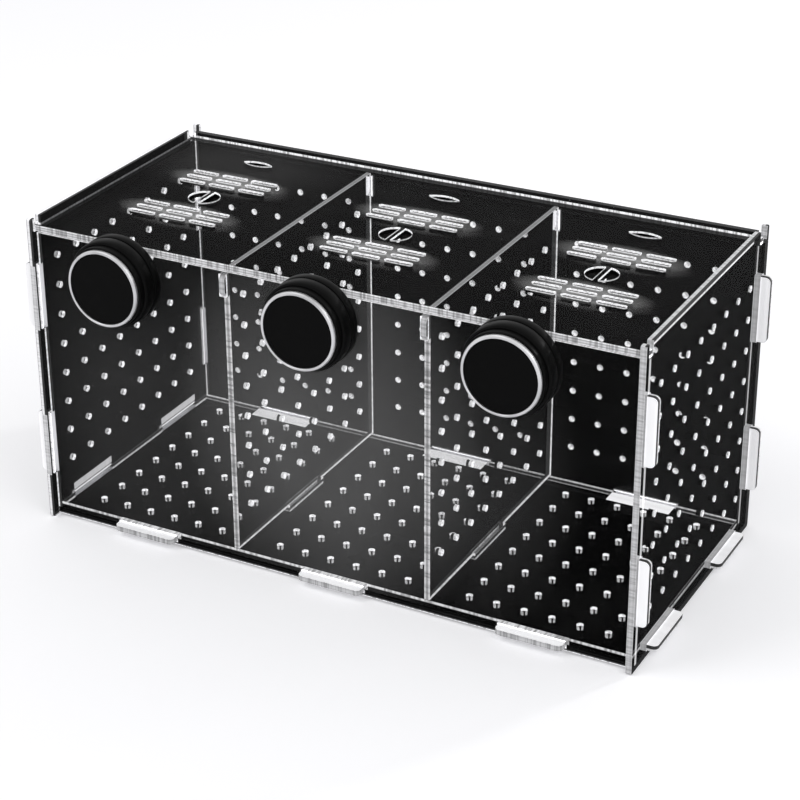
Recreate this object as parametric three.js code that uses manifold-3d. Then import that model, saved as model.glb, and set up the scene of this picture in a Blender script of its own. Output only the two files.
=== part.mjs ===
// Fish breeding box of smoked acrylic sheet: three perforated chambers side by side, one lid that
// drops into notches of the side walls, and three magnet pairs that hold the box on tank glass.
// Millimetres, +Z up, the front towards -Y. Heights start at the lower edges of the side walls and
// depths at their front edges. The group is then moved so that its origin lies under its middle.

import * as THREE from 'three';
import { mergeVertices } from 'three/addons/utils/BufferGeometryUtils.js';
import Module from 'manifold-3d';

const wasm = await Module();
wasm.setup();

// Box
const sheet = 2.8;
const boxWidth = 300;
const boxDepth = 144.3;
const boxHeight = 153.6;
const frontLip = 3.1;
const rearLip = 3.9;
const wallFoot = 1.25;
const floorHeight = 3;
const backRise = 1.4;
const dividerOffset = 49.2;
const insideShift = 0.9;
const fitGap = 0.3;
const cutOverrun = 1;
const cornerRadius = 1.2;

// Lid
const lidRecess = 3.55;
const lidClearance = 0.6;
const lidSideGap = 0.4;
const lidRearGap = 0.5;
const earLength = 3.5;
const earRadius = 0.8;
const rearNotchRun = 4.5;
const notchRadius = 2;

// Tabs of one sheet through the next
const tabLength = 32;
const tabReach = 4.7;
const tabRadius = 2.4;
const wallTabInset = 22.9;
const floorTabInset = 10.8;
const frontTabShift = 3;
const backTabShift = 1.2;
const dividerTabLength = 10;
const dividerTabDrop = 2;
const dividerTabReach = 0.8;
const dividerFootForward = 3.9;
const dividerFootReach = 2;

// Water holes
const holeDiameter = 3;
const holeSides = 4;
const holeRowPitch = 15.12;
const firstRowHeight = 24;
const topRowMargin = 16;
const firstRowDepth = 18.6;
const floorColumnPitch = 13.35;
const floorColumnMargin = 14;
const sideFieldShift = 1;
const backColumnPitch = 13.45;
const backColumnMargin = 15;

// Openings of the lid, one pattern over each chamber
const patternShift = 2.1;
const patternSpread = 1;
const patternForward = 2.7;
const slotLength = 13.6;
const slotWidth = 2.4;
const slotColumnCount = 3;
const slotColumnPitch = 16.1;
const slotRowCount = 3;
const slotRowPitch = 6.2;
const slotGroupSpread = 21.6;
const feedHoleRadius = 7.5;
const feedBarWidth = 2.6;
const lensLength = 15.5;
const lensWidth = 5;
const lensInset = 20.8;

// Magnet pairs, with depths counted forward from the front wall
const leftMagnetShift = -2.4;
const middleMagnetShift = -2.5;
const rightMagnetShift = -6.4;
const magnetDrop = 19.8;
const adhesiveThickness = 0.8;
const adhesiveRadius = 15;
const baseSetback = 0.5;
const baseDepth = 4.7;
const baseRadius = 20.7;
const baseChamfer = 0.6;
const discRadius = 13;
const baseDiscThickness = 2;
const capDiscThickness = 4;
const webThickness = 0.6;
const padThickness = 0.75;
const padRadius = 17;
const partingGap = 0.6;
const skirtLength = 5.2;
const skirtRadius = 19.8;
const skirtChamfer = 0.5;
const grooveLength = 0.6;
const grooveRadius = 18.3;
const gripLength = 2.6;
const gripValleyRadius = 18.6;
const gripToothRise = 0.5;
const gripToothCount = 24;
const stepLength = 0.4;
const stepRadius = 17.6;
const bezelDepth = 1.9;
const bezelRadius = 18.1;
const bezelChamfer = 0.8;
const bezelBore = 16.7;
const faceThickness = 1.4;

// Facets of the round forms
const turnSteps = 20;
const hiddenSteps = 12;
const cornerSteps = 2;
const feedHoleSteps = 8;
const lensSteps = 4;

// Levels worked out from the sizes above
const halfWidth = boxWidth / 2;
const innerHalfWidth = halfWidth - sheet;
const frontInside = frontLip + sheet;
const backFace = boxDepth - rearLip;
const backInside = backFace - sheet;
const lidTop = boxHeight - lidRecess;
const lidBottom = lidTop - sheet;
const wallTop = lidBottom - lidClearance;
const lidBack = backInside - lidRearGap;
const floorTop = floorHeight + sheet;
const floorMiddle = floorHeight + sheet / 2;
const magnetHeight = boxHeight - magnetDrop;
const patternDepth = (frontLip + lidBack) / 2 - patternForward;
const lensDepth = lidBack - lensInset;
const dividerPlaces = [insideShift - dividerOffset, insideShift + dividerOffset];
const dividerTabHeight = wallTop - dividerTabDrop - dividerTabLength / 2;
const dividerFootPlace = boxDepth / 2 - dividerFootForward;
const wallTabHeights = endPlaces(0, boxHeight, wallTabInset);
const floorSideTabs = endPlaces(frontInside + fitGap, backInside - fitGap, floorTabInset);

// Chambers, as pairs of their inner sides
const chambers = [
  [-innerHalfWidth, dividerPlaces[0] - sheet / 2],
  [dividerPlaces[0] + sheet / 2, dividerPlaces[1] - sheet / 2],
  [dividerPlaces[1] + sheet / 2, innerHalfWidth],
];
const frontTabPlaces = chamberPlaces(frontTabShift, 0);
const backTabPlaces = chamberPlaces(backTabShift, 0);
const patternPlaces = chamberPlaces(patternShift, patternSpread);
const fieldPlaces = chamberPlaces(0, -sideFieldShift);

// Levels through a magnet pair, from the front wall forward
const adhesiveFront = fitGap + adhesiveThickness;
const baseDiscRear = adhesiveFront + fitGap;
const baseWebRear = baseDiscRear + baseDiscThickness + fitGap;
const baseWebFront = baseWebRear + webThickness;
const basePadRear = baseWebFront + fitGap;
const capPadRear = basePadRear + padThickness + fitGap;
const capWebRear = capPadRear + padThickness + fitGap;
const capWebFront = capWebRear + webThickness;
const capDiscRear = capWebFront + fitGap;
const baseFront = baseSetback + baseDepth;
const skirtRear = baseFront + partingGap;
const skirtFront = skirtRear + skirtLength;
const gripRear = skirtFront + grooveLength;
const gripFront = gripRear + gripLength;
const capFront = gripFront + stepLength;
const bezelRear = capFront + fitGap;
const bezelFront = bezelRear + bezelDepth;
const overallFront = frontLip - bezelFront;
const overallBack = Math.max(boxDepth, backFace + tabReach);

// Materials
const acrylic = { color: 0x2b2c2e, roughness: 0.08, metalness: 0, transparent: true, opacity: 0.6 };
const blackPlastic = { color: 0x0c0c0d, roughness: 0.35, metalness: 0 };
const brightAluminium = { color: 0xc9cbcc, roughness: 0.22, metalness: 1 };
const blackRubber = { color: 0x151515, roughness: 0.9, metalness: 0 };
const whiteFoam = { color: 0xd8d8d4, roughness: 0.95, metalness: 0 };
const nickel = { color: 0x9a9a98, roughness: 0.3, metalness: 1 };

const box = new THREE.Group();

// The two tab middles on an edge, each tab as far from its end of the edge.
function endPlaces(start, end, inset) {
  return [start + inset + tabLength / 2, end - inset - tabLength / 2];
}

// One place for each chamber: its middle with a shift, the outer two spread from the middle one.
function chamberPlaces(shift, spread) {
  return chambers.map(([left, right], i) => (left + right) / 2 + shift + (i - 1) * spread);
}

// How many holes of one pitch fit on a length.
function holeCount(length, pitch) {
  return Math.floor(length / pitch) + 1;
}

function addMesh(name, geometry, look) {
  const mesh = new THREE.Mesh(geometry, new THREE.MeshStandardMaterial(look));
  mesh.name = name;
  box.add(mesh);
  return mesh;
}

// Outlines

// The quarter round between an edge that arrives at a corner and the one that leaves it.
function cornerPoints(corner, before, after, radius) {
  const arriving = corner.clone().sub(before).normalize();
  const leaving = after.clone().sub(corner).normalize();
  return Array.from({ length: cornerSteps + 1 }, (_, i) => {
    const turn = (i / cornerSteps) * (Math.PI / 2);
    return corner.clone()
      .addScaledVector(arriving, radius * (Math.sin(turn) - 1))
      .addScaledVector(leaving, radius * (1 - Math.cos(turn)));
  });
}

// Points along the rounded end of a tab or notch, as steps along the edge and away from it.
function roundedEnd(reach, radius) {
  if (radius === 0) return [[0, reach]];
  return Array.from({ length: cornerSteps + 1 }, (_, i) => {
    const turn = (i / cornerSteps) * (Math.PI / 2);
    return [radius * (1 - Math.cos(turn)), reach - Math.sign(reach) * radius * (1 - Math.sin(turn))];
  });
}

// Points of the tabs on one straight edge of a panel, run counter-clockwise.
// A tab spans start to end along the edge; a negative reach cuts a notch instead.
function tabPoints(from, to, tabs) {
  const length = to.distanceTo(from);
  const along = to.clone().sub(from).normalize();
  const outward = new THREE.Vector2(along.y, -along.x);
  const at = (s, h) => from.clone().addScaledVector(along, s).addScaledVector(outward, h);
  return tabs.flatMap(({ start, end, reach, startRound, endRound }) => [
    ...(start > 0 ? [at(start, 0)] : []),
    ...roundedEnd(reach, startRound).map(([s, h]) => at(start + s, h)),
    ...roundedEnd(reach, endRound).reverse().map(([s, h]) => at(end - s, h)),
    ...(end < length ? [at(end, 0)] : []),
  ]);
}

// A rectangular panel with tabs or notches below, on the right, above and on the left.
function panelShape(low, high, sides, cornerRound = 0) {
  const corners = [
    new THREE.Vector2(low[0], low[1]),
    new THREE.Vector2(high[0], low[1]),
    new THREE.Vector2(high[0], high[1]),
    new THREE.Vector2(low[0], high[1]),
  ];
  return new THREE.Shape(corners.flatMap((corner, i) => {
    const before = corners.at(i - 1);
    const after = corners[(i + 1) % corners.length];
    const start = cornerRound > 0 ? cornerPoints(corner, before, after, cornerRound) : [corner];
    return [...start, ...tabPoints(corner, after, sides[i])];
  }));
}

function tabSpan(start, end, reach, startRound, endRound) {
  return { start, end, reach, startRound, endRound };
}

function tabAt(middle, length, reach) {
  return tabSpan(middle - length / 2, middle + length / 2, reach, tabRadius, tabRadius);
}

function polygonPath(pairs) {
  return new THREE.Path(pairs.map(([u, v]) => new THREE.Vector2(u, v)));
}

// A water hole of few sides, with the area of the round one.
function waterHole(u, v) {
  const step = (2 * Math.PI) / holeSides;
  const radius = (holeDiameter / 2) * Math.sqrt(step / Math.sin(step));
  const corners = Array.from({ length: holeSides }, (_, i) => {
    const turn = (i + 0.25) * step;
    return [u + radius * Math.cos(turn), v + radius * Math.sin(turn)];
  });
  return polygonPath(corners);
}

// The cutter for the slot that a tab of the next sheet passes through.
function tabSlot(u, v, length, alongU) {
  const long = length + 2 * fitGap;
  const thin = sheet + 2 * fitGap;
  const [width, height] = alongU ? [long, thin] : [thin, long];
  return new THREE.BoxGeometry(width, height, sheet + 2 * cutOverrun).translate(u, v, sheet / 2);
}

function rowHeights() {
  const count = holeCount(wallTop - topRowMargin - firstRowHeight, holeRowPitch);
  return Array.from({ length: count }, (_, i) => firstRowHeight + i * holeRowPitch);
}

function rowDepths() {
  const count = holeCount(boxDepth - 2 * firstRowDepth, holeRowPitch);
  return Array.from({ length: count }, (_, i) => firstRowDepth + i * holeRowPitch);
}

function sideHoles() {
  return rowDepths().flatMap((y) => rowHeights().map((z) => waterHole(y, z)));
}

// Solids joined and cut

function solidOf(geometry) {
  const bare = geometry.clone();
  bare.deleteAttribute('normal');
  bare.deleteAttribute('uv');
  const welded = mergeVertices(bare);
  const corners = welded.index.array;
  const kept = [];
  for (let i = 0; i < corners.length; i += 3) {
    const [a, b, c] = corners.slice(i, i + 3);
    if (a !== b && b !== c && c !== a) kept.push(a, b, c);
  }
  const vertProperties = new Float32Array(welded.attributes.position.array);
  const triVerts = new Uint32Array(kept);
  return new wasm.Manifold(new wasm.Mesh({ numProp: 3, vertProperties, triVerts }));
}

function geometryOf(solid) {
  const { vertProperties, triVerts } = solid.getMesh();
  const indexed = new THREE.BufferGeometry();
  indexed.setAttribute('position', new THREE.BufferAttribute(new Float32Array(vertProperties), 3));
  indexed.setIndex(new THREE.BufferAttribute(new Uint32Array(triVerts), 1));
  const flat = indexed.toNonIndexed();
  flat.computeVertexNormals();
  return flat;
}

// Sheets cut from an outline and set in place

function sheetGeometry(shape, holes, slots) {
  shape.holes.push(...holes);
  const plate = new THREE.ExtrudeGeometry(shape, { depth: sheet, bevelEnabled: false });
  if (slots.length === 0) return plate;
  const cut = slots.reduce((solid, slot) => solid.subtract(solidOf(slot)), solidOf(plate));
  return geometryOf(cut);
}

// Outline in X and Y, lower face at height z
function lyingSheet(shape, holes, slots, z) {
  return sheetGeometry(shape, holes, slots).translate(0, 0, z);
}

// Outline in X and Z, front face at depth y
function crossSheet(shape, holes, slots, y) {
  return sheetGeometry(shape, holes, slots).rotateX(Math.PI / 2).translate(0, y + sheet, 0);
}

// Outline in Y and Z, left face at x
function lengthwiseSheet(shape, holes, slots, x) {
  const turned = new THREE.Matrix4().makeBasis(
    new THREE.Vector3(0, 1, 0),
    new THREE.Vector3(0, 0, 1),
    new THREE.Vector3(1, 0, 0),
  );
  return sheetGeometry(shape, holes, slots).applyMatrix4(turned).translate(x, 0, 0);
}

// Side walls: slots for the tabs of floor, front and back, and notches that hold the lid's ears
function makeSideWall(name, x) {
  const reach = -(boxHeight - lidBottom + fitGap);
  const hold = earLength + lidSideGap;
  const rear = boxDepth - lidBack;
  const front = boxDepth - frontLip;
  const notches = [
    tabSpan(rear - rearNotchRun, rear + hold, reach, notchRadius, 0),
    tabSpan(front - hold, front + lidSideGap, reach, 0, 0),
  ];
  const shape = panelShape([0, 0], [boxDepth, boxHeight], [[], [], notches, []], cornerRadius);
  const slots = [
    ...wallTabHeights.map((z) => tabSlot(frontLip + sheet / 2, z, tabLength, false)),
    ...wallTabHeights.map((z) => tabSlot(backInside + sheet / 2, z, tabLength, false)),
    ...floorSideTabs.map((y) => tabSlot(y, floorMiddle, tabLength, true)),
  ];
  return addMesh(name, lengthwiseSheet(shape, sideHoles(), slots, x), acrylic);
}

// Front and back walls stand between the side walls, with two tabs through each of them.
function crossWallShape(top) {
  const low = [-innerHalfWidth + fitGap, wallFoot];
  const high = [innerHalfWidth - fitGap, top];
  const reach = fitGap + sheet + tabReach;
  const rightTabs = wallTabHeights.map((z) => tabAt(z - wallFoot, tabLength, reach));
  const leftTabs = wallTabHeights.map((z) => tabAt(top - z, tabLength, reach)).reverse();
  return panelShape(low, high, [[], rightTabs, [], leftTabs]);
}

function crossWallSlots(floorTabs) {
  return [
    ...floorTabs.map((x) => tabSlot(x, floorMiddle, tabLength, true)),
    ...dividerPlaces.map((x) => tabSlot(x, dividerTabHeight, dividerTabLength, false)),
  ];
}

function makeFrontWall() {
  const shape = crossWallShape(wallTop);
  const slots = crossWallSlots(frontTabPlaces);
  return addMesh('front_wall', crossSheet(shape, [], slots, frontLip), acrylic);
}

// The columns of the back wall run on one even pitch, without the two that would meet a divider.
function backColumns() {
  const reach = innerHalfWidth - insideShift - backColumnMargin - backColumnPitch / 2;
  const across = 2 * holeCount(reach, backColumnPitch);
  const places = Array.from(
    { length: across },
    (_, i) => insideShift + (i - (across - 1) / 2) * backColumnPitch,
  );
  return places.filter((x) => dividerPlaces.every((d) => Math.abs(x - d) > backColumnPitch / 2));
}

function makeBackWall() {
  const shape = crossWallShape(lidTop + backRise);
  const holes = backColumns().flatMap((x) => rowHeights().map((z) => waterHole(x, z)));
  const slots = crossWallSlots(backTabPlaces);
  return addMesh('back_wall', crossSheet(shape, holes, slots, backInside), acrylic);
}

function floorColumns([left, right], middle) {
  const count = holeCount(right - left - 2 * floorColumnMargin, floorColumnPitch);
  const first = middle - ((count - 1) / 2) * floorColumnPitch;
  return Array.from({ length: count }, (_, i) => first + i * floorColumnPitch);
}

// Floor: three tabs through the front wall and the back wall, two through each side wall
function makeFloor() {
  const low = [-innerHalfWidth + fitGap, frontInside + fitGap];
  const high = [innerHalfWidth - fitGap, backInside - fitGap];
  const reach = fitGap + sheet + tabReach;
  const frontTabs = frontTabPlaces.map((x) => tabAt(x - low[0], tabLength, reach));
  const rightTabs = floorSideTabs.map((y) => tabAt(y - low[1], tabLength, reach));
  const backTabs = backTabPlaces.map((x) => tabAt(high[0] - x, tabLength, reach)).reverse();
  const leftTabs = floorSideTabs.map((y) => tabAt(high[1] - y, tabLength, reach)).reverse();
  const shape = panelShape(low, high, [frontTabs, rightTabs, backTabs, leftTabs]);
  const columns = chambers.flatMap((chamber, i) => floorColumns(chamber, fieldPlaces[i]));
  const holes = columns.flatMap((x) => rowDepths().map((y) => waterHole(x, y)));
  const slots = dividerPlaces.map((x) => tabSlot(x, dividerFootPlace, tabLength, false));
  return addMesh('floor_panel', lyingSheet(shape, holes, slots, floorHeight), acrylic);
}

// Dividers: a tab at the top through the front and back walls, and a foot through the floor
function makeDivider(name, x) {
  const low = [frontInside + fitGap, floorTop + fitGap];
  const high = [backInside - fitGap, wallTop];
  const reach = fitGap + sheet + dividerTabReach;
  const footReach = fitGap + sheet + dividerFootReach;
  const foot = tabAt(dividerFootPlace - low[0], tabLength, footReach);
  const rearTab = tabAt(dividerTabHeight - low[1], dividerTabLength, reach);
  const frontTab = tabAt(high[1] - dividerTabHeight, dividerTabLength, reach);
  const shape = panelShape(low, high, [[foot], [rearTab], [], [frontTab]]);
  return addMesh(name, lengthwiseSheet(shape, sideHoles(), [], x - sheet / 2), acrylic);
}

// Lid

// A slim slot along X that narrows to its two ends.
function ventSlot(x, y) {
  const end = slotLength / 2;
  const half = slotWidth / 2;
  const side = end - half;
  return polygonPath([
    [x - end, y], [x - side, y - half], [x + side, y - half],
    [x + end, y], [x + side, y + half], [x - side, y + half],
  ]);
}

function ventSlots(middle) {
  const slots = [];
  for (const group of [-slotGroupSpread, slotGroupSpread]) {
    for (let row = 0; row < slotRowCount; row += 1) {
      for (let column = 0; column < slotColumnCount; column += 1) {
        const x = middle + (column - (slotColumnCount - 1) / 2) * slotColumnPitch;
        const y = patternDepth + group + (row - (slotRowCount - 1) / 2) * slotRowPitch;
        slots.push(ventSlot(x, y));
      }
    }
  }
  return slots;
}

// One half of the round feeding hole, beside the bar that splits it front to back.
function feedHalf(middle, side) {
  const half = feedBarWidth / 2;
  const swing = Math.acos(half / feedHoleRadius);
  const points = Array.from({ length: feedHoleSteps + 1 }, (_, i) => {
    const turn = -swing + (2 * swing * i) / feedHoleSteps;
    const u = feedHoleRadius * Math.cos(turn);
    return [middle + side * u, patternDepth + side * feedHoleRadius * Math.sin(turn)];
  });
  return polygonPath(points);
}

// A lens-shaped cut between two equal arcs.
function lensCut(middle) {
  const half = lensLength / 2;
  const rise = lensWidth / 2;
  const radius = (half * half + rise * rise) / (2 * rise);
  const swing = Math.asin(half / radius);
  const points = [];
  for (const side of [-1, 1]) {
    for (let i = 0; i < lensSteps; i += 1) {
      const turn = -swing + (2 * swing * i) / lensSteps;
      const lift = radius * Math.cos(turn) - (radius - rise);
      points.push([middle - side * radius * Math.sin(turn), lensDepth + side * lift]);
    }
  }
  return polygonPath(points);
}

// The lid lies between the side walls, with four ears that reach into their notches.
function makeLid() {
  const low = [-innerHalfWidth + lidSideGap, frontLip];
  const high = [innerHalfWidth - lidSideGap, lidBack];
  const depth = high[1] - low[1];
  const reach = lidSideGap + sheet;
  const ears = [
    tabSpan(0, earLength, reach, earRadius, earRadius),
    tabSpan(depth - earLength, depth, reach, earRadius, earRadius),
  ];
  const holes = patternPlaces.flatMap((middle) => [
    ...ventSlots(middle),
    feedHalf(middle, -1),
    feedHalf(middle, 1),
    lensCut(middle),
  ]);
  const shape = panelShape(low, high, [[], ears, [], ears]);
  return addMesh('lid', lyingSheet(shape, holes, [], lidBottom), acrylic);
}

// Magnet pairs

// A turned piece about the magnet's axis. Its profile lists [radius, distance from the front wall].
function turned(profile, steps = turnSteps) {
  const points = profile.map(([radius, forward]) => new THREE.Vector2(radius, -forward));
  return new THREE.LatheGeometry(points, steps);
}

// The grip band: a toothed ring, fused to the cap between its pocket and its groove.
function gripBand() {
  const outline = Array.from({ length: 2 * gripToothCount }, (_, i) => {
    const turn = (i * Math.PI) / gripToothCount;
    const radius = gripValleyRadius + (i % 2) * gripToothRise;
    return [radius * Math.cos(turn), radius * Math.sin(turn)];
  });
  const bore = Array.from({ length: turnSteps }, (_, i) => {
    const turn = (i * 2 * Math.PI) / turnSteps;
    const radius = (discRadius + grooveRadius) / 2;
    return [radius * Math.cos(turn), radius * Math.sin(turn)];
  });
  const shape = new THREE.Shape(polygonPath(outline).getPoints());
  shape.holes.push(polygonPath(bore));
  const band = new THREE.ExtrudeGeometry(shape, { depth: gripLength, bevelEnabled: false });
  return band.rotateX(Math.PI / 2).translate(0, -gripRear, 0);
}

// The cap: a smooth skirt, a groove, the grip band and a step that carries the bezel.
// Its magnet lies in the front pocket, its rubber pad in the rear one.
function capBody() {
  const core = turned([
    [0, capWebFront],
    [discRadius + fitGap, capWebFront],
    [discRadius + fitGap, capFront],
    [stepRadius, capFront],
    [stepRadius, gripFront],
    [grooveRadius, gripFront],
    [grooveRadius, skirtFront],
    [skirtRadius - skirtChamfer, skirtFront],
    [skirtRadius, skirtFront - skirtChamfer],
    [skirtRadius, skirtRear + skirtChamfer],
    [skirtRadius - skirtChamfer, skirtRear],
    [padRadius + fitGap, skirtRear],
    [padRadius + fitGap, capWebRear],
    [0, capWebRear],
  ]);
  return geometryOf(solidOf(core).add(solidOf(gripBand())));
}

// The base on the front wall: its rubber pad lies in front, its magnet and adhesive pad behind.
function baseBody() {
  return turned([
    [0, baseWebFront],
    [padRadius + fitGap, baseWebFront],
    [padRadius + fitGap, baseFront],
    [baseRadius - baseChamfer, baseFront],
    [baseRadius, baseFront - baseChamfer],
    [baseRadius, baseSetback + baseChamfer],
    [baseRadius - baseChamfer, baseSetback],
    [adhesiveRadius + fitGap, baseSetback],
    [adhesiveRadius + fitGap, baseDiscRear],
    [discRadius + fitGap, baseDiscRear],
    [discRadius + fitGap, baseWebRear],
    [0, baseWebRear],
  ]);
}

function bezelRing() {
  return turned([
    [bezelBore, bezelFront],
    [bezelRadius - bezelChamfer, bezelFront],
    [bezelRadius, bezelFront - bezelChamfer],
    [bezelRadius, bezelRear],
    [bezelBore, bezelRear],
    [bezelBore, bezelFront],
  ]);
}

function disc(radius, rear, thickness, steps = hiddenSteps) {
  const front = rear + thickness;
  return turned([[0, front], [radius, front], [radius, rear], [0, rear]], steps);
}

function makeMagnetPair(number, x) {
  const place = (name, geometry, look) => {
    addMesh(`${name}_${number}`, geometry, look).position.set(x, frontLip, magnetHeight);
  };
  place('adhesive_pad', disc(adhesiveRadius, fitGap, adhesiveThickness), whiteFoam);
  place('magnet_base', baseBody(), blackPlastic);
  place('base_magnet', disc(discRadius, baseDiscRear, baseDiscThickness), nickel);
  place('base_rubber', disc(padRadius, basePadRear, padThickness), blackRubber);
  place('cap_rubber', disc(padRadius, capPadRear, padThickness), blackRubber);
  place('cap_magnet', disc(discRadius, capDiscRear, capDiscThickness), nickel);
  place('magnet_cap', capBody(), blackPlastic);
  place('cap_bezel', bezelRing(), brightAluminium);
  place('cap_face', disc(bezelBore - fitGap, bezelRear, faceThickness, turnSteps), blackPlastic);
}

makeSideWall('left_wall', -halfWidth);
makeSideWall('right_wall', innerHalfWidth);
makeFrontWall();
makeBackWall();
makeFloor();
dividerPlaces.forEach((x, i) => makeDivider(`divider_${i + 1}`, x));
makeLid();
[leftMagnetShift, middleMagnetShift, rightMagnetShift].forEach((shift, i) => {
  makeMagnetPair(i + 1, chamberPlaces(shift, 0)[i]);
});

box.position.set(0, -(overallFront + overallBack) / 2, 0);

export default box;
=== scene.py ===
import math

import bpy
from mathutils import Matrix, Vector


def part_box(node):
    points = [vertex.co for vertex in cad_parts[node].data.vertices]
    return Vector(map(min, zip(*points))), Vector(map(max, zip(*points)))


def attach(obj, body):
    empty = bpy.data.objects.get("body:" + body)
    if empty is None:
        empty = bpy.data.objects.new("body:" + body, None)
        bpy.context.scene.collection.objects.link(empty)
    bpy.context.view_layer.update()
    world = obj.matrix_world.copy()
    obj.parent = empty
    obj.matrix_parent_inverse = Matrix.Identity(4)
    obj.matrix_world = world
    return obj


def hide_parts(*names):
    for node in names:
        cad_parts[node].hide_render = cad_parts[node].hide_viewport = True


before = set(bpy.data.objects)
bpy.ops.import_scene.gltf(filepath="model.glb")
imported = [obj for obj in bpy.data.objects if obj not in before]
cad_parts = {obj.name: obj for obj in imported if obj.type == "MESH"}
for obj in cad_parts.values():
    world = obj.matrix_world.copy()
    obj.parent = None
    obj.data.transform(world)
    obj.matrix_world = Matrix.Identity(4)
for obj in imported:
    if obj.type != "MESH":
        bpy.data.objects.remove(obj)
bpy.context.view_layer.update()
scene = bpy.context.scene

# Lengths are in millimetres: x from the middle of the box, y back from the side walls' front
# edges, z up from their feet. Meshes get metres in the CAD frame, which lies setBack further back.
mm = 0.001
weld = 0.000001  # points nearer than this become one, in metres
flatFrom = 0.9  # a face is one of a sheet's flat ones when its normal lies this much across it
box = {
    "sheet": 2.8, "width": 300, "depth": 144.3, "height": 153.6, "setBack": 65.7, "gap": 0.3,
    "frontLip": 3.1, "frontInside": 5.9, "backInside": 137.6, "backFace": 140.4,
    "floorHeight": 3, "floorTop": 5.8, "foot": 1.25, "lidBottom": 147.25, "lidBack": 137.1,
    "wallTop": 146.65, "backTop": 151.45, "insideHalf": 147.2,
    "dividers": (-48.3, 50.1), "patterns": (-97.35, 3.0, 102.45),
    "edgeBreak": 0.12, "tabRound": 2.4, "smoothUnder": 35,
}


def at(x, y, z):
    return (x * mm, (y - box["setBack"]) * mm, z * mm)


# Shader maths: a wrapped socket that adds its Math node when it is used in an expression.
class Value:
    def __init__(self, finish, socket):
        self.finish = finish
        self.socket = socket

    def maths(self, operation, first, second):
        node = self.finish.add("ShaderNodeMath", {"operation": operation}, {0: first, 1: second})
        return Value(self.finish, node.outputs[0])

    def __add__(self, other):
        return self.maths("ADD", self, other)

    def __radd__(self, other):
        return self.maths("ADD", other, self)

    def __sub__(self, other):
        return self.maths("SUBTRACT", self, other)

    def __rsub__(self, other):
        return self.maths("SUBTRACT", other, self)

    def __mul__(self, other):
        return self.maths("MULTIPLY", self, other)

    def __rmul__(self, other):
        return self.maths("MULTIPLY", other, self)

    def __truediv__(self, other):
        return self.maths("DIVIDE", self, other)

    def __rtruediv__(self, other):
        return self.maths("DIVIDE", other, self)

    def __pow__(self, other):
        return self.maths("POWER", self, other)

    def __rpow__(self, other):
        return self.maths("POWER", other, self)

    def __gt__(self, other):
        return self.maths("GREATER_THAN", self, other)

    def __lt__(self, other):
        return self.maths("LESS_THAN", self, other)


def findSocket(sockets, key):
    for socket in sockets:
        if socket.identifier == key:
            return socket
    return sockets[key]


class Finish:
    def __init__(self, owner):
        owner.use_nodes = True
        self.owner = owner
        self.tree = owner.node_tree
        self.tree.nodes.clear()
        if isinstance(owner, bpy.types.Material):
            self.coords = self.add("ShaderNodeTexCoord").outputs["Object"]

    def add(self, kind, settings=None, values=None):
        node = self.tree.nodes.new(kind)
        for key, setting in (settings or {}).items():
            if key == "stops":
                self.setStops(node.color_ramp, setting)
            else:
                setattr(node, key, setting)
        for key, value in (values or {}).items():
            socket = findSocket(node.inputs, key)
            if isinstance(value, Value):
                value = value.socket
            if isinstance(value, bpy.types.NodeSocket):
                self.tree.links.new(value, socket)
            else:
                socket.default_value = value
        return node

    def setStops(self, ramp, stops):
        while len(ramp.elements) < len(stops):
            ramp.elements.new(1)
        for element, (place, tone) in zip(ramp.elements, stops):
            element.position = place
            element.color = (tone, tone, tone, 1)

    def noise(self, scale, detail=2, stretch=(1, 1, 1), roughness=0.5):
        placed = self.add("ShaderNodeMapping", None, {"Vector": self.coords, "Scale": stretch})
        node = self.add(
            "ShaderNodeTexNoise", None,
            {"Vector": placed.outputs[0], "Scale": scale, "Detail": detail, "Roughness": roughness},
        )
        return Value(self, node.outputs[0])

    def ramp(self, value, stops):
        node = self.add("ShaderNodeValToRGB", {"stops": stops}, {"Fac": value})
        return Value(self, node.outputs[0])

    def specks(self, scale, size, share, shift=(0, 0, 0)):
        placed = self.add("ShaderNodeMapping", None, {"Vector": self.coords, "Location": shift})
        cells = self.add(
            "ShaderNodeTexVoronoi", None, {"Vector": placed.outputs[0], "Scale": scale}
        )
        chosen = self.add("ShaderNodeSeparateColor", None, {0: cells.outputs["Color"]})
        near = Value(self, cells.outputs["Distance"]) < size
        return near * (Value(self, chosen.outputs[0]) < share)

    def blend(self, factor, first, second):
        node = self.add(
            "ShaderNodeMix", {"data_type": "RGBA"},
            {"Factor_Float": factor, "A_Color": first, "B_Color": second},
        )
        return findSocket(node.outputs, "Result_Color")

    def bump(self, height, distance):
        node = self.add("ShaderNodeBump", None, {"Height": height, "Distance": distance})
        return node.outputs[0]

    def place(self, centre):
        node = self.add(
            "ShaderNodeVectorMath", {"operation": "SUBTRACT"}, {0: self.coords, 1: centre}
        )
        return node.outputs[0]

    def split(self, vector):
        node = self.add("ShaderNodeSeparateXYZ", None, {0: vector})
        return [Value(self, socket) for socket in node.outputs]

    def finish(self, values):
        shader = self.add("ShaderNodeBsdfPrincipled", None, values)
        self.add("ShaderNodeOutputMaterial", None, {"Surface": shader.outputs[0]})
        self.owner.cycles.emission_sampling = "NONE"
        return self.owner


def newFinish(name):
    return Finish(bpy.data.materials.new(name))


def grey(level):
    return (level, level, level * 1.02, 1)


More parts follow.
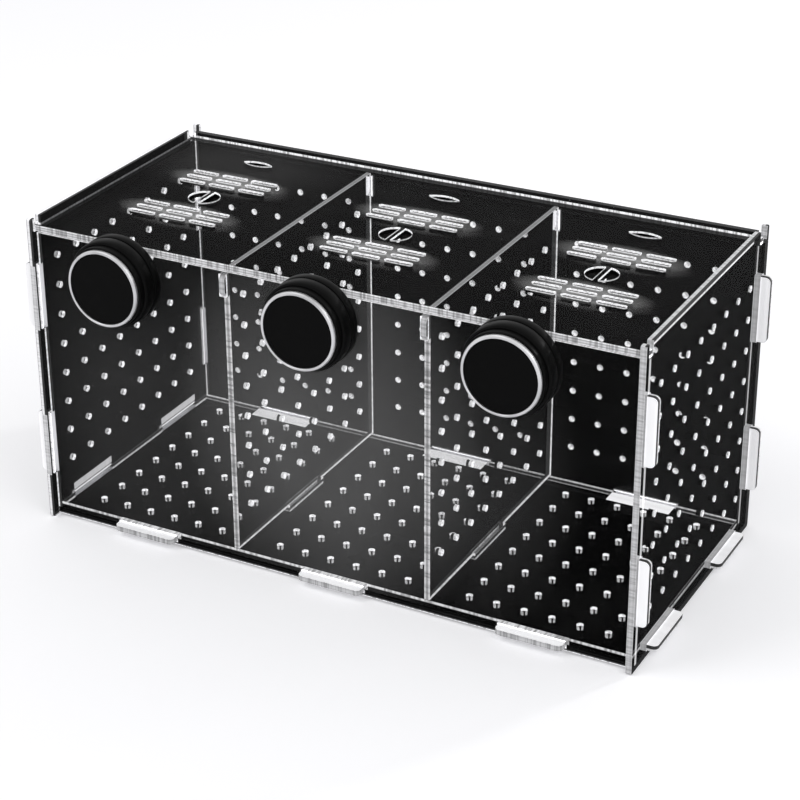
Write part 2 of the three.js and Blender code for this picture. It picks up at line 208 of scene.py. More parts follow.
# Smoked sheet: see-through by its alpha, with faint smudges, polish lines and dust, and on some
# sheets painted light: lighter pools and a glowing line. The outward faces of the back, left and
# bottom sheets are dense and near black, painted shade, the others clearer.
acrylic = {
    "clear": 0.34, "faint": 0.16, "dense": 0.988, "tone": 0.002, "smudge": 0.022, "rub": 0.04,
    "dust": 0.9, "dustTone": 0.8, "gloss": 0.011, "rough": 0.08, "cloudRough": 0.25,
    "cloudScale": 22, "patchScale": 7, "rubScale": 38, "rubStretch": (1, 3, 9), "poolCore": 0.35,
    "specks": (130, 0.04, 0.3), "specksShare": 0.7,
    "fineSpecks": (310, 0.05, 0.16, (0.3, 0.1, 0.2)), "fineShare": 0.4,
    "rightGloss": 0.004, "seam": (3.2, 5.2), "paintedSeamGlow": 2.2, "seamScale": 600,
}

# Painted light: lighter pools on the front and lid sheets, each with its centre, how fast it fades
# per metre along each axis, and its brightness
paintedLightPools = {
    "front": [
        ((2, 4.5, 80), (13, 0, 9), 0.2), ((-90, 4.5, 60), (12, 0, 9), 0.06),
        ((78, 4.5, 80), (22, 0, 12), 0.05),
    ],
    "lid": [
        ((x, 67.4 + step, 149), (30, 85, 0), 0.7)
        for x in box["patterns"] for step in (-21.6, 21.6)
    ] + [((-105, 112, 149), (17, 26, 0), 0.045)],
}


def makeAcrylic(name, alpha, paintedPools=(), seam=None, gloss=acrylic["gloss"]):
    f = newFinish(name)
    clouds = f.ramp(f.noise(acrylic["cloudScale"], 5, roughness=0.62), [(0.5, 0), (0.78, 1)])
    patches = f.ramp(f.noise(acrylic["patchScale"], 3), [(0.45, 0), (0.7, 1)])
    rubs = f.noise(acrylic["rubScale"], 3, acrylic["rubStretch"])
    rubs = f.ramp(rubs, [(0.62, 0), (0.8, 1)])
    dust = f.specks(*acrylic["specks"]) * acrylic["specksShare"]
    dust = dust + f.specks(*acrylic["fineSpecks"]) * acrylic["fineShare"]
    smudgeAndPaintedLight = acrylic["smudge"] * clouds * patches + acrylic["rub"] * rubs * patches + acrylic["tone"]
    # Painted light: lighter pools added to the base colour round the given centres
    for centre, fade, peak in paintedPools:
        away = f.add(
            "ShaderNodeVectorMath", {"operation": "MULTIPLY"}, {0: f.place(at(*centre)), 1: fade}
        )
        far = f.add("ShaderNodeVectorMath", {"operation": "LENGTH"}, {0: away.outputs[0]})
        smudgeAndPaintedLight = smudgeAndPaintedLight + f.ramp(Value(f, far.outputs["Value"]), [(acrylic["poolCore"], peak), (1, 0)])
    colour = f.blend(smudgeAndPaintedLight, (0, 0, 0, 1), (1, 1, 1, 1))
    colour = f.blend(dust * acrylic["dust"], colour, grey(acrylic["dustTone"]))
    values = {
        "Base Color": colour,
        "Roughness": acrylic["rough"] + acrylic["cloudRough"] * clouds,
        "Specular IOR Level": gloss,
        "Alpha": alpha,
    }
    # Painted light: a glowing line on the sheet between the seam's two depths, where the front wall
    # meets it
    if seam:
        first, last = [(y - box["setBack"]) * mm for y in seam]
        depth = f.split(f.coords)[1]
        line = (depth > first) * (depth < last)
        line = line * (0.6 + 0.4 * f.noise(acrylic["seamScale"], 2))
        values["Emission Color"] = f.blend(line, (0, 0, 0, 1), grey(1))
        values["Emission Strength"] = acrylic["paintedSeamGlow"]
    return f.finish(values)


# Laser-cut edges: painted bright glint lines along their rims, fine laser lines across, darker
# between, and a glow by emission set per edge, painted light that differs with the way an edge
# faces. Each list is brightness against the place across the sheet's thickness.
edgeGlintsAndLaserLines = {
    "full": [(0, 1), (0.1, 0.6), (0.45, 0.72), (0.9, 0.55), (1, 1)],
    "rope": [(0, 1), (0.14, 0.9), (0.24, 0.42), (0.5, 0.8), (0.74, 0.42), (0.86, 1), (1, 1)],
    "low": [(0, 1), (0.36, 0.95), (0.46, 0.03), (1, 0.03)],
    "high": [(0, 0.03), (0.54, 0.03), (0.64, 0.95), (1, 1)],
    "rim": [(0, 0.03), (0.68, 0.03), (0.78, 0.9), (1, 0.9)],
    "rear": [(0, 0.5), (0.16, 0.45), (0.26, 0.04), (0.6, 0.04), (0.7, 0.95), (1, 1)],
    "left": [(0, 0.95), (0.3, 0.95), (0.4, 0.03), (0.86, 0.03), (0.92, 0.3), (1, 0.3)],
    "dotted": [(0, 0.95), (0.22, 0.85), (0.34, 0.42), (0.66, 0.42), (0.78, 0.85), (1, 0.95)],
    "outer": [(0, 0.3), (0.1, 0.35), (0.16, 1), (0.54, 0.95), (0.62, 0.03), (1, 0.03)],
    "base": [(0, 0.3), (0.1, 0.4), (0.18, 1), (0.6, 0.9), (0.68, 0.03), (1, 0.03)],
    "inner": [(0, 1), (0.1, 0.72), (0.58, 0.8), (0.66, 0.03), (1, 0.03)],
    "none": [(0, 0.03), (1, 0.03)],
    "faint": [(0, 0.03), (0.58, 0.03), (0.7, 0.4), (1, 0.45)],
    "soft": [(0, 0.03), (0.18, 0.05), (0.26, 0.8), (0.42, 0.5), (0.84, 0.5), (0.92, 0.8), (1, 0.8)],
    "dark": 0.008, "bright": 0.95, "line": 900, "fine": 2600, "stretch": 0.06, "rough": 0.55,
    "gloss": 0.15, "lineShare": 0.7, "fineShare": 0.5, "groove": 0.00006,
}
edgesWithPaintedLight = {}


def edgeWithPaintedLight(axis, low, kind, paintedGlow, dashes=0.45):
    key = (axis, low, kind, paintedGlow, dashes)
    if key in edgesWithPaintedLight:
        return edgesWithPaintedLight[key]
    f = newFinish("edgeGlintsAndLaserLines" + kind.capitalize() + str(len(edgesWithPaintedLight) + 1))
    place = f.split(f.coords)[axis]
    if axis == 1:
        low -= box["setBack"]
    # Painted glints: bright bands across the thickness, chosen per edge; the colour also glows by
    # emission, painted light
    paintedRimGlints = f.ramp((place - low * mm) / (box["sheet"] * mm), edgeGlintsAndLaserLines[kind])
    stretch = [edgeGlintsAndLaserLines["stretch"] if other == axis else 1 for other in range(3)]
    lines = f.ramp(f.noise(edgeGlintsAndLaserLines["line"], 1, stretch), [(0.36, 0), (0.56, 1)])
    fine = f.noise(edgeGlintsAndLaserLines["fine"], 1, stretch)
    dashed = lines * edgeGlintsAndLaserLines["lineShare"] + fine * edgeGlintsAndLaserLines["fineShare"]
    tone = paintedRimGlints * ((1 - dashes) + dashes * dashed)
    colour = f.blend(tone, grey(edgeGlintsAndLaserLines["dark"]), grey(edgeGlintsAndLaserLines["bright"]))
    edgesWithPaintedLight[key] = f.finish({
        "Base Color": colour,
        "Roughness": edgeGlintsAndLaserLines["rough"],
        "Specular IOR Level": edgeGlintsAndLaserLines["gloss"],
        "Emission Color": colour,
        "Emission Strength": paintedGlow,
        "Normal": f.bump(lines + fine, edgeGlintsAndLaserLines["groove"]),
    })
    return edgesWithPaintedLight[key]


# Milky surfaces glow in their own colour by emission, painted light that stands for the light
# that the sheet carries to its cut ends.
def paintedGlowFinish(f, colour, values, paintedGlow):
    return f.finish({
        "Base Color": colour,
        "Roughness": values["rough"],
        "Specular IOR Level": values["gloss"],
        "Emission Color": colour,
        "Emission Strength": paintedGlow,
    })


# Walls of the water holes and of the lid's openings, whiter than the outer edges and glowing by
# emission, the inner holes more: painted light.
holeWall = {
    "outerGlow": 0.5, "innerGlow": 1.5, "grain": 1100, "dark": 0.5, "bright": 1.0,
    "rough": 0.5, "gloss": 0.2,
}


def makeHoleWall(name, paintedGlow):
    f = newFinish(name)
    grain = f.ramp(f.noise(holeWall["grain"], 2), [(0.36, 0), (0.56, 1)])
    colour = f.blend(grain, grey(holeWall["dark"]), grey(holeWall["bright"]))
    return paintedGlowFinish(f, colour, holeWall, paintedGlow)


# Faces of the tabs, with faint long bands, painted white and glowing by a strength set per face,
# none underneath and most on the inner tops: painted light.
tabFace = {
    "outerGlow": 0.42, "innerGlow": 1.1, "innerTopGlow": 2, "underGlow": 0,
    "bands": 420, "stretch": 0.02, "bandShare": 0.6, "clouds": 60, "cloudShare": 0.4,
    "dark": 0.76, "bright": 0.97, "rough": 0.3, "gloss": 0.2,
}


def makeTabFace(name, along, paintedGlow):
    f = newFinish(name)
    stretch = [tabFace["stretch"] if axis == along else 1 for axis in range(3)]
    bands = f.ramp(f.noise(tabFace["bands"], 2, stretch), [(0.3, 0), (0.7, 1)])
    tone = bands * tabFace["bandShare"] + f.noise(tabFace["clouds"], 2) * tabFace["cloudShare"]
    colour = f.blend(tone, grey(tabFace["dark"]), grey(tabFace["bright"]))
    return paintedGlowFinish(f, colour, tabFace, paintedGlow)


clearSheet = makeAcrylic("smokedClear", acrylic["clear"])
faintSheet = makeAcrylic("smokedFaint", acrylic["faint"])
# Painted shade: a near-black, nearly opaque sheet for the outward faces of the back, left and
# bottom sheets, for dark strips of the walls and for the hole walls away from the light
paintedShadeSheet = makeAcrylic("paintedShadeDense", acrylic["dense"])
frontSheet = makeAcrylic("smokedFront", acrylic["clear"], paintedLightPools["front"])
rightSheet = makeAcrylic(
    "smokedRight", acrylic["clear"], seam=acrylic["seam"], gloss=acrylic["rightGloss"]
)
lidSheet = makeAcrylic("smokedLid", acrylic["clear"], paintedLightPools["lid"])
# Painted light: white hole walls that glow, the inner ones more
outerHole = makeHoleWall("holeWall", holeWall["outerGlow"])
innerHole = makeHoleWall("innerHoleWall", holeWall["innerGlow"])
# Painted light: tab faces in white, glowing by their kind of face
tabSides = makeTabFace("tabSide", 2, tabFace["outerGlow"])
tabTops = makeTabFace("tabTop", 0, tabFace["outerGlow"])
tabUnders = makeTabFace("tabUnder", 0, tabFace["underGlow"])
innerTabs = makeTabFace("innerTab", 2, tabFace["innerGlow"])
innerTabTops = makeTabFace("innerTabTop", 0, tabFace["innerTopGlow"])
print("finishes of the sheets made")


# Outlines of the sheets, counter-clockwise, as lists of points
def arc(radius, steps=6):
    angles = [i / steps * math.pi / 2 for i in range(steps + 1)]
    return [(radius * (1 - math.cos(t)), radius * (1 - math.sin(t))) for t in angles]


def tabEnd(reach, radius):
    side = 1 if reach > 0 else -1
    return [(s, reach - side * h) for s, h in arc(radius)] if radius else [(0, reach)]


def tabRun(start, end, tabs):
    along = (end - start).normalized()
    outward = Vector((along.y, -along.x))
    points = []
    for first, last, reach, firstRound, lastRound in tabs:
        if first > 0:
            points.append(start + along * first)
        out, back = tabEnd(reach, firstRound), reversed(tabEnd(reach, lastRound))
        points += [start + along * (first + s) + outward * h for s, h in out]
        points += [start + along * (last - s) + outward * h for s, h in back]
        if last < (end - start).length:
            points.append(start + along * last)
    return points


def panel(low, high, sides, corner=0):
    corners = [Vector(low), Vector((high[0], low[1])), Vector(high), Vector((low[0], high[1]))]
    points = []
    for i, here in enumerate(corners):
        after = corners[(i + 1) % 4]
        coming = (here - corners[i - 1]).normalized()
        leaving = (after - here).normalized()
        if corner:
            points += [here + coming * -h + leaving * s for s, h in arc(corner)]
        else:
            points.append(here)
        points += tabRun(here, after, sides[i])
    return points


def tab(middle, length, reach):
    return (middle - length / 2, middle + length / 2, reach, box["tabRound"], box["tabRound"])


# Water holes: cell and reach serve to find the hole that a wall belongs to
waterHole = {"radius": 1.5, "corners": 12, "cell": 8, "reach": 1.8}


def ring(u, v):
    radius, count = waterHole["radius"], waterHole["corners"]
    angles = [(i + 0.5) * 2 * math.pi / count for i in range(count)]
    return [Vector((u + radius * math.cos(t), v + radius * math.sin(t))) for t in angles]


def slot(u, v, width, height):
    return panel((u - width / 2, v - height / 2), (u + width / 2, v + height / 2), [[], [], [], []])


def pick(piece):
    for other in bpy.context.selected_objects:
        other.select_set(False)
    piece.select_set(True)
    bpy.context.view_layer.objects.active = piece


# Turns of a flat outline, by the axis that the sheet's thickness lies on
sheetTurns = {
    0: (math.pi / 2, 0, math.pi / 2),
    1: (math.pi / 2, 0, 0),
    2: (0, 0, 0),
}


def cutSheet(name, outline, cuts, axis, middle):
    curve = bpy.data.curves.new(name, "CURVE")
    curve.dimensions = "2D"
    curve.fill_mode = "BOTH"
    for points in [outline] + cuts:
        spline = curve.splines.new("POLY")
        spline.points.add(len(points) - 1)
        spline.points.foreach_set("co", [n for p in points for n in (p.x * mm, p.y * mm, 0, 1)])
        spline.use_cyclic_u = True
    curve.extrude = (box["sheet"] / 2 - box["edgeBreak"]) * mm
    curve.bevel_depth = box["edgeBreak"] * mm
    curve.bevel_resolution = 0
    curve.offset = -box["edgeBreak"] * mm
    piece = bpy.data.objects.new(name, curve)
    scene.collection.objects.link(piece)
    pick(piece)
    bpy.ops.object.convert(target="MESH")
    piece = bpy.context.view_layer.objects.active
    piece.rotation_euler = sheetTurns[axis]
    place = Vector((0, -box["setBack"] * mm, 0))
    place[axis] += middle * mm
    piece.location = place
    bpy.ops.object.transform_apply(location=True, rotation=True, scale=True)
    bpy.ops.object.mode_set(mode="EDIT")
    bpy.ops.mesh.select_all(action="SELECT")
    bpy.ops.mesh.remove_doubles(threshold=weld)
    bpy.ops.mesh.normals_make_consistent(inside=False)
    bpy.ops.object.mode_set(mode="OBJECT")
    return piece


def splitAt(piece, axis, level):
    where = Vector((0, 0, 0))
    where[axis] = level * mm
    facing = Vector((0, 0, 0))
    facing[axis] = 1
    pick(piece)
    bpy.ops.object.mode_set(mode="EDIT")
    bpy.ops.mesh.select_all(action="SELECT")
    bpy.ops.mesh.bisect(plane_co=where, plane_no=facing)
    bpy.ops.object.mode_set(mode="OBJECT")


# Gives a function that finds the direction from the middle of a water hole to a spot on its wall
def holeFinder(holes):
    cell = waterHole["cell"]
    grid = {}
    for u, v in holes:
        for du in range(-1, 2):
            for dv in range(-1, 2):
                grid.setdefault((round(u / cell) + du, round(v / cell) + dv), []).append((u, v))

    def find(u, v):
        for cu, cv in grid.get((round(u / cell), round(v / cell)), ()):
            if math.hypot(u - cu, v - cv) < waterHole["reach"]:
                return Vector((u - cu, v - cv)).normalized()
        return None

    return find


# Finish of each face. A look holds the two flat faces' finishes, the edges' by the way that they
# face, and the tabs' by the plane that they start at. Its areas are rectangles of a flat face, of
# both with side 0. Its slots are one rectangle for the walls of the slots inside it, and tabEdge is
# the front edge beside the side tabs. The walls of the holes are painted white on the side that the
# light reaches, down to a depth from the face that it comes through, and painted dark with the
# near-black shade sheet elsewhere: painted light and shade.
def chooseFinish(spot, normal, axis, low, look, find):
    flat = [i for i in range(3) if i != axis]
    for other, level, side, onFace, onEnd in look.get("tabs", ()):
        if spot[other] * side > level * side:
            return onFace[int(normal[axis] > 0)] if abs(normal[axis]) > flatFrom else onEnd
    if abs(normal[axis]) > flatFrom:
        for side, corner, across, material in look.get("areas", ()):
            inside = all(a < spot[i] < b for i, (a, b) in zip(flat, zip(corner, across)))
            if inside and side * normal[axis] >= 0:
                return material
        return look["faces"][int(normal[axis] > 0)]
    away = find(spot[flat[0]], spot[flat[1]])
    if away:
        depth = spot[axis] - low
        if look["from"] > 0:
            depth = box["sheet"] - depth
        # Painted light and shade: the wall is white towards the light down to the listed depth,
        # elsewhere the near-black shade sheet
        facing = away.dot(Vector(look["lit"]))
        white = any(least < facing < most and depth < deep for least, most, deep in look["white"])
        return look["hole"] if white else paintedShadeSheet
    if "slots" in look:
        corner, across, material = look["slots"]
        if all(a < spot[i] < b for i, (a, b) in zip(flat, zip(corner, across))):
            return material
    main = max(flat, key=lambda i: abs(normal[i]))
    atFront = main == 1 and normal.y <= 0 and spot.y < sideWall["frontEdge"]
    if atFront and "tabEdge" in look:
        if any(abs(spot.z - z) < sideTabs["length"] / 2 for z in sideTabs["heights"]):
            return look["tabEdge"]
    return look["edges"][main, int(normal[main] > 0)]


def dress(piece, axis, low, look):
    find = holeFinder(look.get("holes", ()))
    piece.data.materials.clear()
    order = {}
    for face in piece.data.polygons:
        spot = Vector(face.center) / mm
        spot.y += box["setBack"]
        material = chooseFinish(spot, face.normal, axis, low, look, find)
        if material.name not in order:
            order[material.name] = len(order)
            piece.data.materials.append(material)
        face.material_index = order[material.name]
    pick(piece)
    bpy.ops.object.shade_smooth_by_angle(angle=math.radians(box["smoothUnder"]))


def settle(piece, node, body="box", slotName="smoked_acrylic"):
    low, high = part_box(node)
    corners = [piece.matrix_world @ Vector(c) for c in piece.bound_box]
    off = max(
        max(abs(min(c[i] for c in corners) - low[i]), abs(max(c[i] for c in corners) - high[i]))
        for i in range(3)
    )
    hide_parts(node)
    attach(piece, body)
    faces = len(piece.data.polygons)
    print(f"{piece.name} stands for {node} with {faces} faces, off by {off / mm:.2f} mm")


# Rows of the water holes by height and by depth, and what the tabs and their slots share
holeRows = {"firstHeight": 24, "firstDepth": 18.6, "pitch": 15.12, "count": 8}
rows = [holeRows["firstHeight"] + i * holeRows["pitch"] for i in range(holeRows["count"])]
depths = [holeRows["firstDepth"] + i * holeRows["pitch"] for i in range(holeRows["count"])]
sideTabs = {"heights": (38.9, 114.7), "length": 32, "floor": (33.0, 110.5), "outside": 4.7}
tabOut = box["gap"] + box["sheet"] + sideTabs["outside"]
slotWide = box["sheet"] + 2 * box["gap"]
slotLong = sideTabs["length"] + 2 * box["gap"]
half = box["sheet"] / 2


def tabSpan(middle):
    return middle - sideTabs["length"] / 2, middle + sideTabs["length"] / 2


# Side walls
sideWall = {
    "notchFront": (2.7, 7.0), "notchBack": (133.2, 141.6), "notchDepth": 6.65, "notchRound": 2,
    "corner": 1.2, "frontEdge": 1, "lit": (0.87, -0.49), "lines": (1.5, 0.7), "bars": (7.0, 10.4),
    "white": ((-1.1, 1.1, 1.5),), "whiteRight": ((-0.3, 1.1, 1.5), (-1.1, -0.3, 0.7)),
}
sideHoles = [(y, z) for y in depths for z in rows]


def makeSideWall(name, node, low, look):
    w = sideWall
    depth = box["depth"]
    first, last = [depth - y for y in reversed(w["notchBack"])]
    back = (first, last, -w["notchDepth"], w["notchRound"], 0)
    first, last = [depth - y for y in reversed(w["notchFront"])]
    front = (first, last, -w["notchDepth"], 0, 0)
    outline = panel((0, 0), (depth, box["height"]), [[], [], [back, front], []], w["corner"])
    cuts = [ring(y, z) for y, z in sideHoles]
    for z in sideTabs["heights"]:
        cuts.append(slot(box["frontLip"] + half, z, slotWide, slotLong))
        cuts.append(slot(box["backInside"] + half, z, slotWide, slotLong))
    for y in sideTabs["floor"]:
        cuts.append(slot(y, box["floorHeight"] + half, slotLong, slotWide))
    piece = cutSheet(name, outline, cuts, 0, low + half)
    for line in w["lines"]:
        splitAt(piece, 0, low + box["sheet"] - line)
    for z in sideTabs["heights"]:
        for level in tabSpan(z):
            splitAt(piece, 2, level)
    for level in (box["floorHeight"], *w["bars"]):
        splitAt(piece, 2, level)
    for level in (box["backFace"], *(end for y in sideTabs["floor"] for end in tabSpan(y))):
        splitAt(piece, 1, level - box["setBack"])
    # Painted light: hole walls white on the lit side down to these depths
    white = w["whiteRight" if low > 0 else "white"]
    look.update({"holes": sideHoles, "lit": w["lit"], "white": white, "from": 1})
    dress(piece, 0, low, look)
    settle(piece, node)


leftLow = -box["width"] / 2
makeSideWall("leftWallSheet", "left_wall", leftLow, {
    "faces": (paintedShadeSheet, clearSheet), "hole": innerHole,
    "edges": {
        (1, 0): edgeWithPaintedLight(0, leftLow, "outer", 0.2, 0.3),
        (1, 1): edgeWithPaintedLight(0, leftLow, "high", 1.2),
        (2, 0): edgeWithPaintedLight(0, leftLow, "high", 0.6),
        (2, 1): edgeWithPaintedLight(0, leftLow, "outer", 0.5, 0.3),
    },
    "tabEdge": edgeWithPaintedLight(0, leftLow, "full", 0.25, 0.3),
    # Painted light: glowing white bars on the inner face just above the floor tabs' slots
    "areas": [(1, *zip(tabSpan(y), sideWall["bars"]), innerTabs) for y in sideTabs["floor"]],
})
rightLow = box["insideHalf"]
makeSideWall("rightWallSheet", "right_wall", rightLow, {
    "faces": (rightSheet, rightSheet), "hole": outerHole,
    "edges": {
        (1, 0): edgeWithPaintedLight(0, rightLow, "full", 0.1),
        (1, 1): edgeWithPaintedLight(0, rightLow, "none", 0.0),
        (2, 0): edgeWithPaintedLight(0, rightLow, "none", 0.0),
        (2, 1): edgeWithPaintedLight(0, rightLow, "inner", 0.1),
    },
    "slots": ((1, 1), (143, 146), edgeWithPaintedLight(0, rightLow, "full", 0.5, 0.2)),
    # Painted shade: the near-black sheet on the strip below the floor's height and behind the back
    # wall
    "areas": (
        (0, (0, 0), (150, box["floorHeight"]), paintedShadeSheet),
        (0, (box["backFace"], 0), (150, 160), paintedShadeSheet),
    ),
})
print("side walls made")

# Front and back walls
crossWall = {
    "frontFloorTabs": (-95.45, 3.9, 102.35), "backFloorTabs": (-97.25, 2.1, 100.55),
    "dividerTab": 139.65, "dividerTabLength": 10,
    "columnPitch": 13.45, "columnStart": 0.9, "columnsPerSide": 10,
    "tabsFrom": 147.0, "foot": (2.4, 4.7), "lit": (-0.7, -0.71), "white": ((-0.1, 1.1, 3),),
}


def makeCrossWall(name, node, low, top, floorTabs, look):
    corner = (-box["insideHalf"] + box["gap"], box["foot"])
    across = (box["insideHalf"] - box["gap"], top)
    right = [tab(z - box["foot"], sideTabs["length"], tabOut) for z in sideTabs["heights"]]
    left = [tab(top - z, sideTabs["length"], tabOut) for z in reversed(sideTabs["heights"])]
    outline = panel(corner, across, [[], right, [], left])
    cuts = [ring(x, z) for x, z in look["holes"]]
    for x in floorTabs:
        cuts.append(slot(x, box["floorHeight"] + half, slotLong, slotWide))
    tall = crossWall["dividerTabLength"] + 2 * box["gap"]
    for x in box["dividers"]:
        cuts.append(slot(x, crossWall["dividerTab"], slotWide, tall))
    piece = cutSheet(name, outline, cuts, 1, low + half)
    splitAt(piece, 0, -crossWall["tabsFrom"])
    splitAt(piece, 0, crossWall["tabsFrom"])
    for level in crossWall["foot"]:
        splitAt(piece, 2, level)
    look.update({"lit": crossWall["lit"], "white": crossWall["white"], "from": 0})
    dress(piece, 1, low, look)
    settle(piece, node)


columns = []
for i in range(-crossWall["columnsPerSide"], crossWall["columnsPerSide"]):
    x = crossWall["columnStart"] + (i + 0.5) * crossWall["columnPitch"]
    if all(abs(x - d) > crossWall["columnPitch"] / 2 for d in box["dividers"]):
        columns.append(x)
frontLow = box["frontLip"]
frontEnd = edgeWithPaintedLight(1, frontLow, "high", 0.15)
frontTabs = crossWall["frontFloorTabs"]
makeCrossWall("frontWallSheet", "front_wall", frontLow, box["wallTop"], frontTabs, {
    "faces": (frontSheet, frontSheet), "hole": outerHole, "holes": [],
    "tabs": (
        (0, -crossWall["tabsFrom"], -1, (tabSides, tabSides), frontEnd),
        (0, crossWall["tabsFrom"], 1, (tabSides, tabSides), frontEnd),
    ),
    "edges": {
        (0, 0): edgeWithPaintedLight(1, frontLow, "low", 1.2),
        (0, 1): edgeWithPaintedLight(1, frontLow, "full", 1.5),
        (2, 0): edgeWithPaintedLight(1, frontLow, "full", 0.1, 0.9),
        (2, 1): edgeWithPaintedLight(1, frontLow, "full", 0.5),
    },
    "slots": ((-145, 2), (145, 10), edgeWithPaintedLight(1, frontLow, "full", 1.3, 0.8)),
    # Painted light and shade: a glowing cut-edge band at the foot of both faces, and the near-black
    # sheet above it up to the foot's second height
    "areas": (
        (0, (-147, 0), (147, crossWall["foot"][0]), edgeWithPaintedLight(2, 0, "base", 0.5, 0.8)),
        (0, (-147, 0), (147, crossWall["foot"][1]), paintedShadeSheet),
    ),
})
backLow = box["backInside"]
backEnd = edgeWithPaintedLight(1, backLow, "high", 0.15)
backTabs = crossWall["backFloorTabs"]
makeCrossWall("backWallSheet", "back_wall", backLow, box["backTop"], backTabs, {
    "faces": (clearSheet, paintedShadeSheet), "hole": innerHole,
    "holes": [(x, z) for x in columns for z in rows],
    "tabs": (
        (0, -crossWall["tabsFrom"], -1, (innerTabs, tabSides), backEnd),
        (0, crossWall["tabsFrom"], 1, (tabSides, tabSides), backEnd),
    ),
    "edges": {
        (0, 0): edgeWithPaintedLight(1, backLow, "low", 2.2),
        (0, 1): edgeWithPaintedLight(1, backLow, "rim", 1.5),
        (2, 0): edgeWithPaintedLight(1, backLow, "low", 1.0),
        (2, 1): edgeWithPaintedLight(1, backLow, "none", 0.0),
    },
})
print("front and back walls made,", len(columns), "hole columns in the back")

# Floor
floorSheet = {
    "fields": (-97.45, 0.9, 98.35), "pitch": 13.35, "columns": 6, "foot": 68.25,
    "tabsFrom": (6.1, 137.4), "bars": (127.4, 135.4),
    "lit": (-0.49, 0.87), "white": ((0.3, 1.1, 1.4), (-0.95, 0.3, 2.1)),
}


def makeFloor():
    low = (-box["insideHalf"] + box["gap"], box["frontInside"] + box["gap"])
    high = (box["insideHalf"] - box["gap"], box["backInside"] - box["gap"])
    length = sideTabs["length"]
    front = [tab(x - low[0], length, tabOut) for x in frontTabs]
    right = [tab(y - low[1], length, tabOut) for y in sideTabs["floor"]]
    back = [tab(high[0] - x, length, tabOut) for x in reversed(backTabs)]
    left = [tab(high[1] - y, length, tabOut) for y in reversed(sideTabs["floor"])]
    outline = panel(low, high, [front, right, back, left])
    count = floorSheet["columns"]
    holes = [
        (middle + (i - (count - 1) / 2) * floorSheet["pitch"], y)
        for middle in floorSheet["fields"] for i in range(count) for y in depths
    ]
    cuts = [ring(x, y) for x, y in holes]
    for x in box["dividers"]:
        cuts.append(slot(x, floorSheet["foot"], slotWide, slotLong))
    bottom = box["floorHeight"]
    piece = cutSheet("floorSheet", outline, cuts, 2, bottom + half)
    side = crossWall["tabsFrom"]
    before, behind = floorSheet["tabsFrom"]
    for level in (-side, side):
        splitAt(piece, 0, level)
    for level in (before, behind, box["frontLip"], *floorSheet["bars"]):
        splitAt(piece, 1, level - box["setBack"])
    for x in backTabs:
        for level in tabSpan(x):
            splitAt(piece, 0, level)
    for band in floorSheet["white"]:
        splitAt(piece, 2, bottom + box["sheet"] - band[2])
    end = edgeWithPaintedLight(2, bottom, "low", 0.15)
    frontTabEnd = edgeWithPaintedLight(2, bottom, "full", 0.15, 0.6)
    dress(piece, 2, bottom, {
        "faces": (paintedShadeSheet, clearSheet), "hole": innerHole, "holes": holes,
        "lit": floorSheet["lit"], "white": floorSheet["white"], "from": 1,
        "tabs": (
            (0, -side, -1, (tabUnders, innerTabs), end),
            (0, side, 1, (tabUnders, tabTops), end),
            (1, box["frontLip"], -1, (tabUnders, tabTops), frontTabEnd),
            (1, before, -1, (tabUnders, innerTabTops), end),
            (1, behind, 1, (tabUnders, innerTabTops), end),
        ),
        "edges": {
            (0, 0): edgeWithPaintedLight(2, bottom, "left", 1.6),
            (0, 1): edgeWithPaintedLight(2, bottom, "left", 1.3, 0.8),
            (1, 0): edgeWithPaintedLight(2, bottom, "high", 1.6, 0.8),
            (1, 1): edgeWithPaintedLight(2, bottom, "rear", 1.7),
        },
        # Painted light: glowing white bars on the floor's top face in front of the back tabs
        "areas": [(1, *zip(tabSpan(x), floorSheet["bars"]), innerTabTops) for x in backTabs],
    })
    settle(piece, "floor_panel")


makeFloor()
print("floor made")

# Dividers
divider = {"tabReach": 0.8, "footReach": 2, "tabFrom": 6.0, "rearTabFrom": 137.6}


def makeDivider(name, node, x):
    corner = (box["frontInside"] + box["gap"], box["floorTop"] + box["gap"])
    across = (box["backInside"] - box["gap"], box["wallTop"])
    through = box["gap"] + box["sheet"]
    length = crossWall["dividerTabLength"]
    foot = tab(floorSheet["foot"] - corner[0], sideTabs["length"], through + divider["footReach"])
    rear = tab(crossWall["dividerTab"] - corner[1], length, through + divider["tabReach"])
    front = tab(across[1] - crossWall["dividerTab"], length, through + divider["tabReach"])
    outline = panel(corner, across, [[foot], [rear], [], [front]])
    low = x - half
    piece = cutSheet(name, outline, [ring(y, z) for y, z in sideHoles], 0, x)
    for line in sideWall["lines"]:
        splitAt(piece, 0, low + box["sheet"] - line)
    splitAt(piece, 1, divider["tabFrom"] - box["setBack"])
    splitAt(piece, 1, divider["rearTabFrom"] - box["setBack"])
    end = edgeWithPaintedLight(0, low, "full", 0.05)
    rearEnd = edgeWithPaintedLight(0, low, "full", 1.2)
    dress(piece, 0, low, {
        "faces": (faintSheet, faintSheet), "hole": innerHole, "holes": sideHoles,
        "lit": sideWall["lit"], "white": sideWall["white"], "from": 1,
        "tabs": (
            (1, divider["tabFrom"], -1, (faintSheet, faintSheet), end),
            (1, divider["rearTabFrom"], 1, (innerTabs, innerTabs), rearEnd),
        ),
        "edges": {
            (1, 0): edgeWithPaintedLight(0, low, "dotted", 1.5, 0.8),
            (1, 1): edgeWithPaintedLight(0, low, "rim", 2.2),
            (2, 0): edgeWithPaintedLight(0, low, "high", 1.6),
            (2, 1): edgeWithPaintedLight(0, low, "soft", 0.8, 0.2),
        },
    })
    settle(piece, node)


makeDivider("leftDividerSheet", "divider_1", box["dividers"][0])
makeDivider("rightDividerSheet", "divider_2", box["dividers"][1])
print("dividers made")

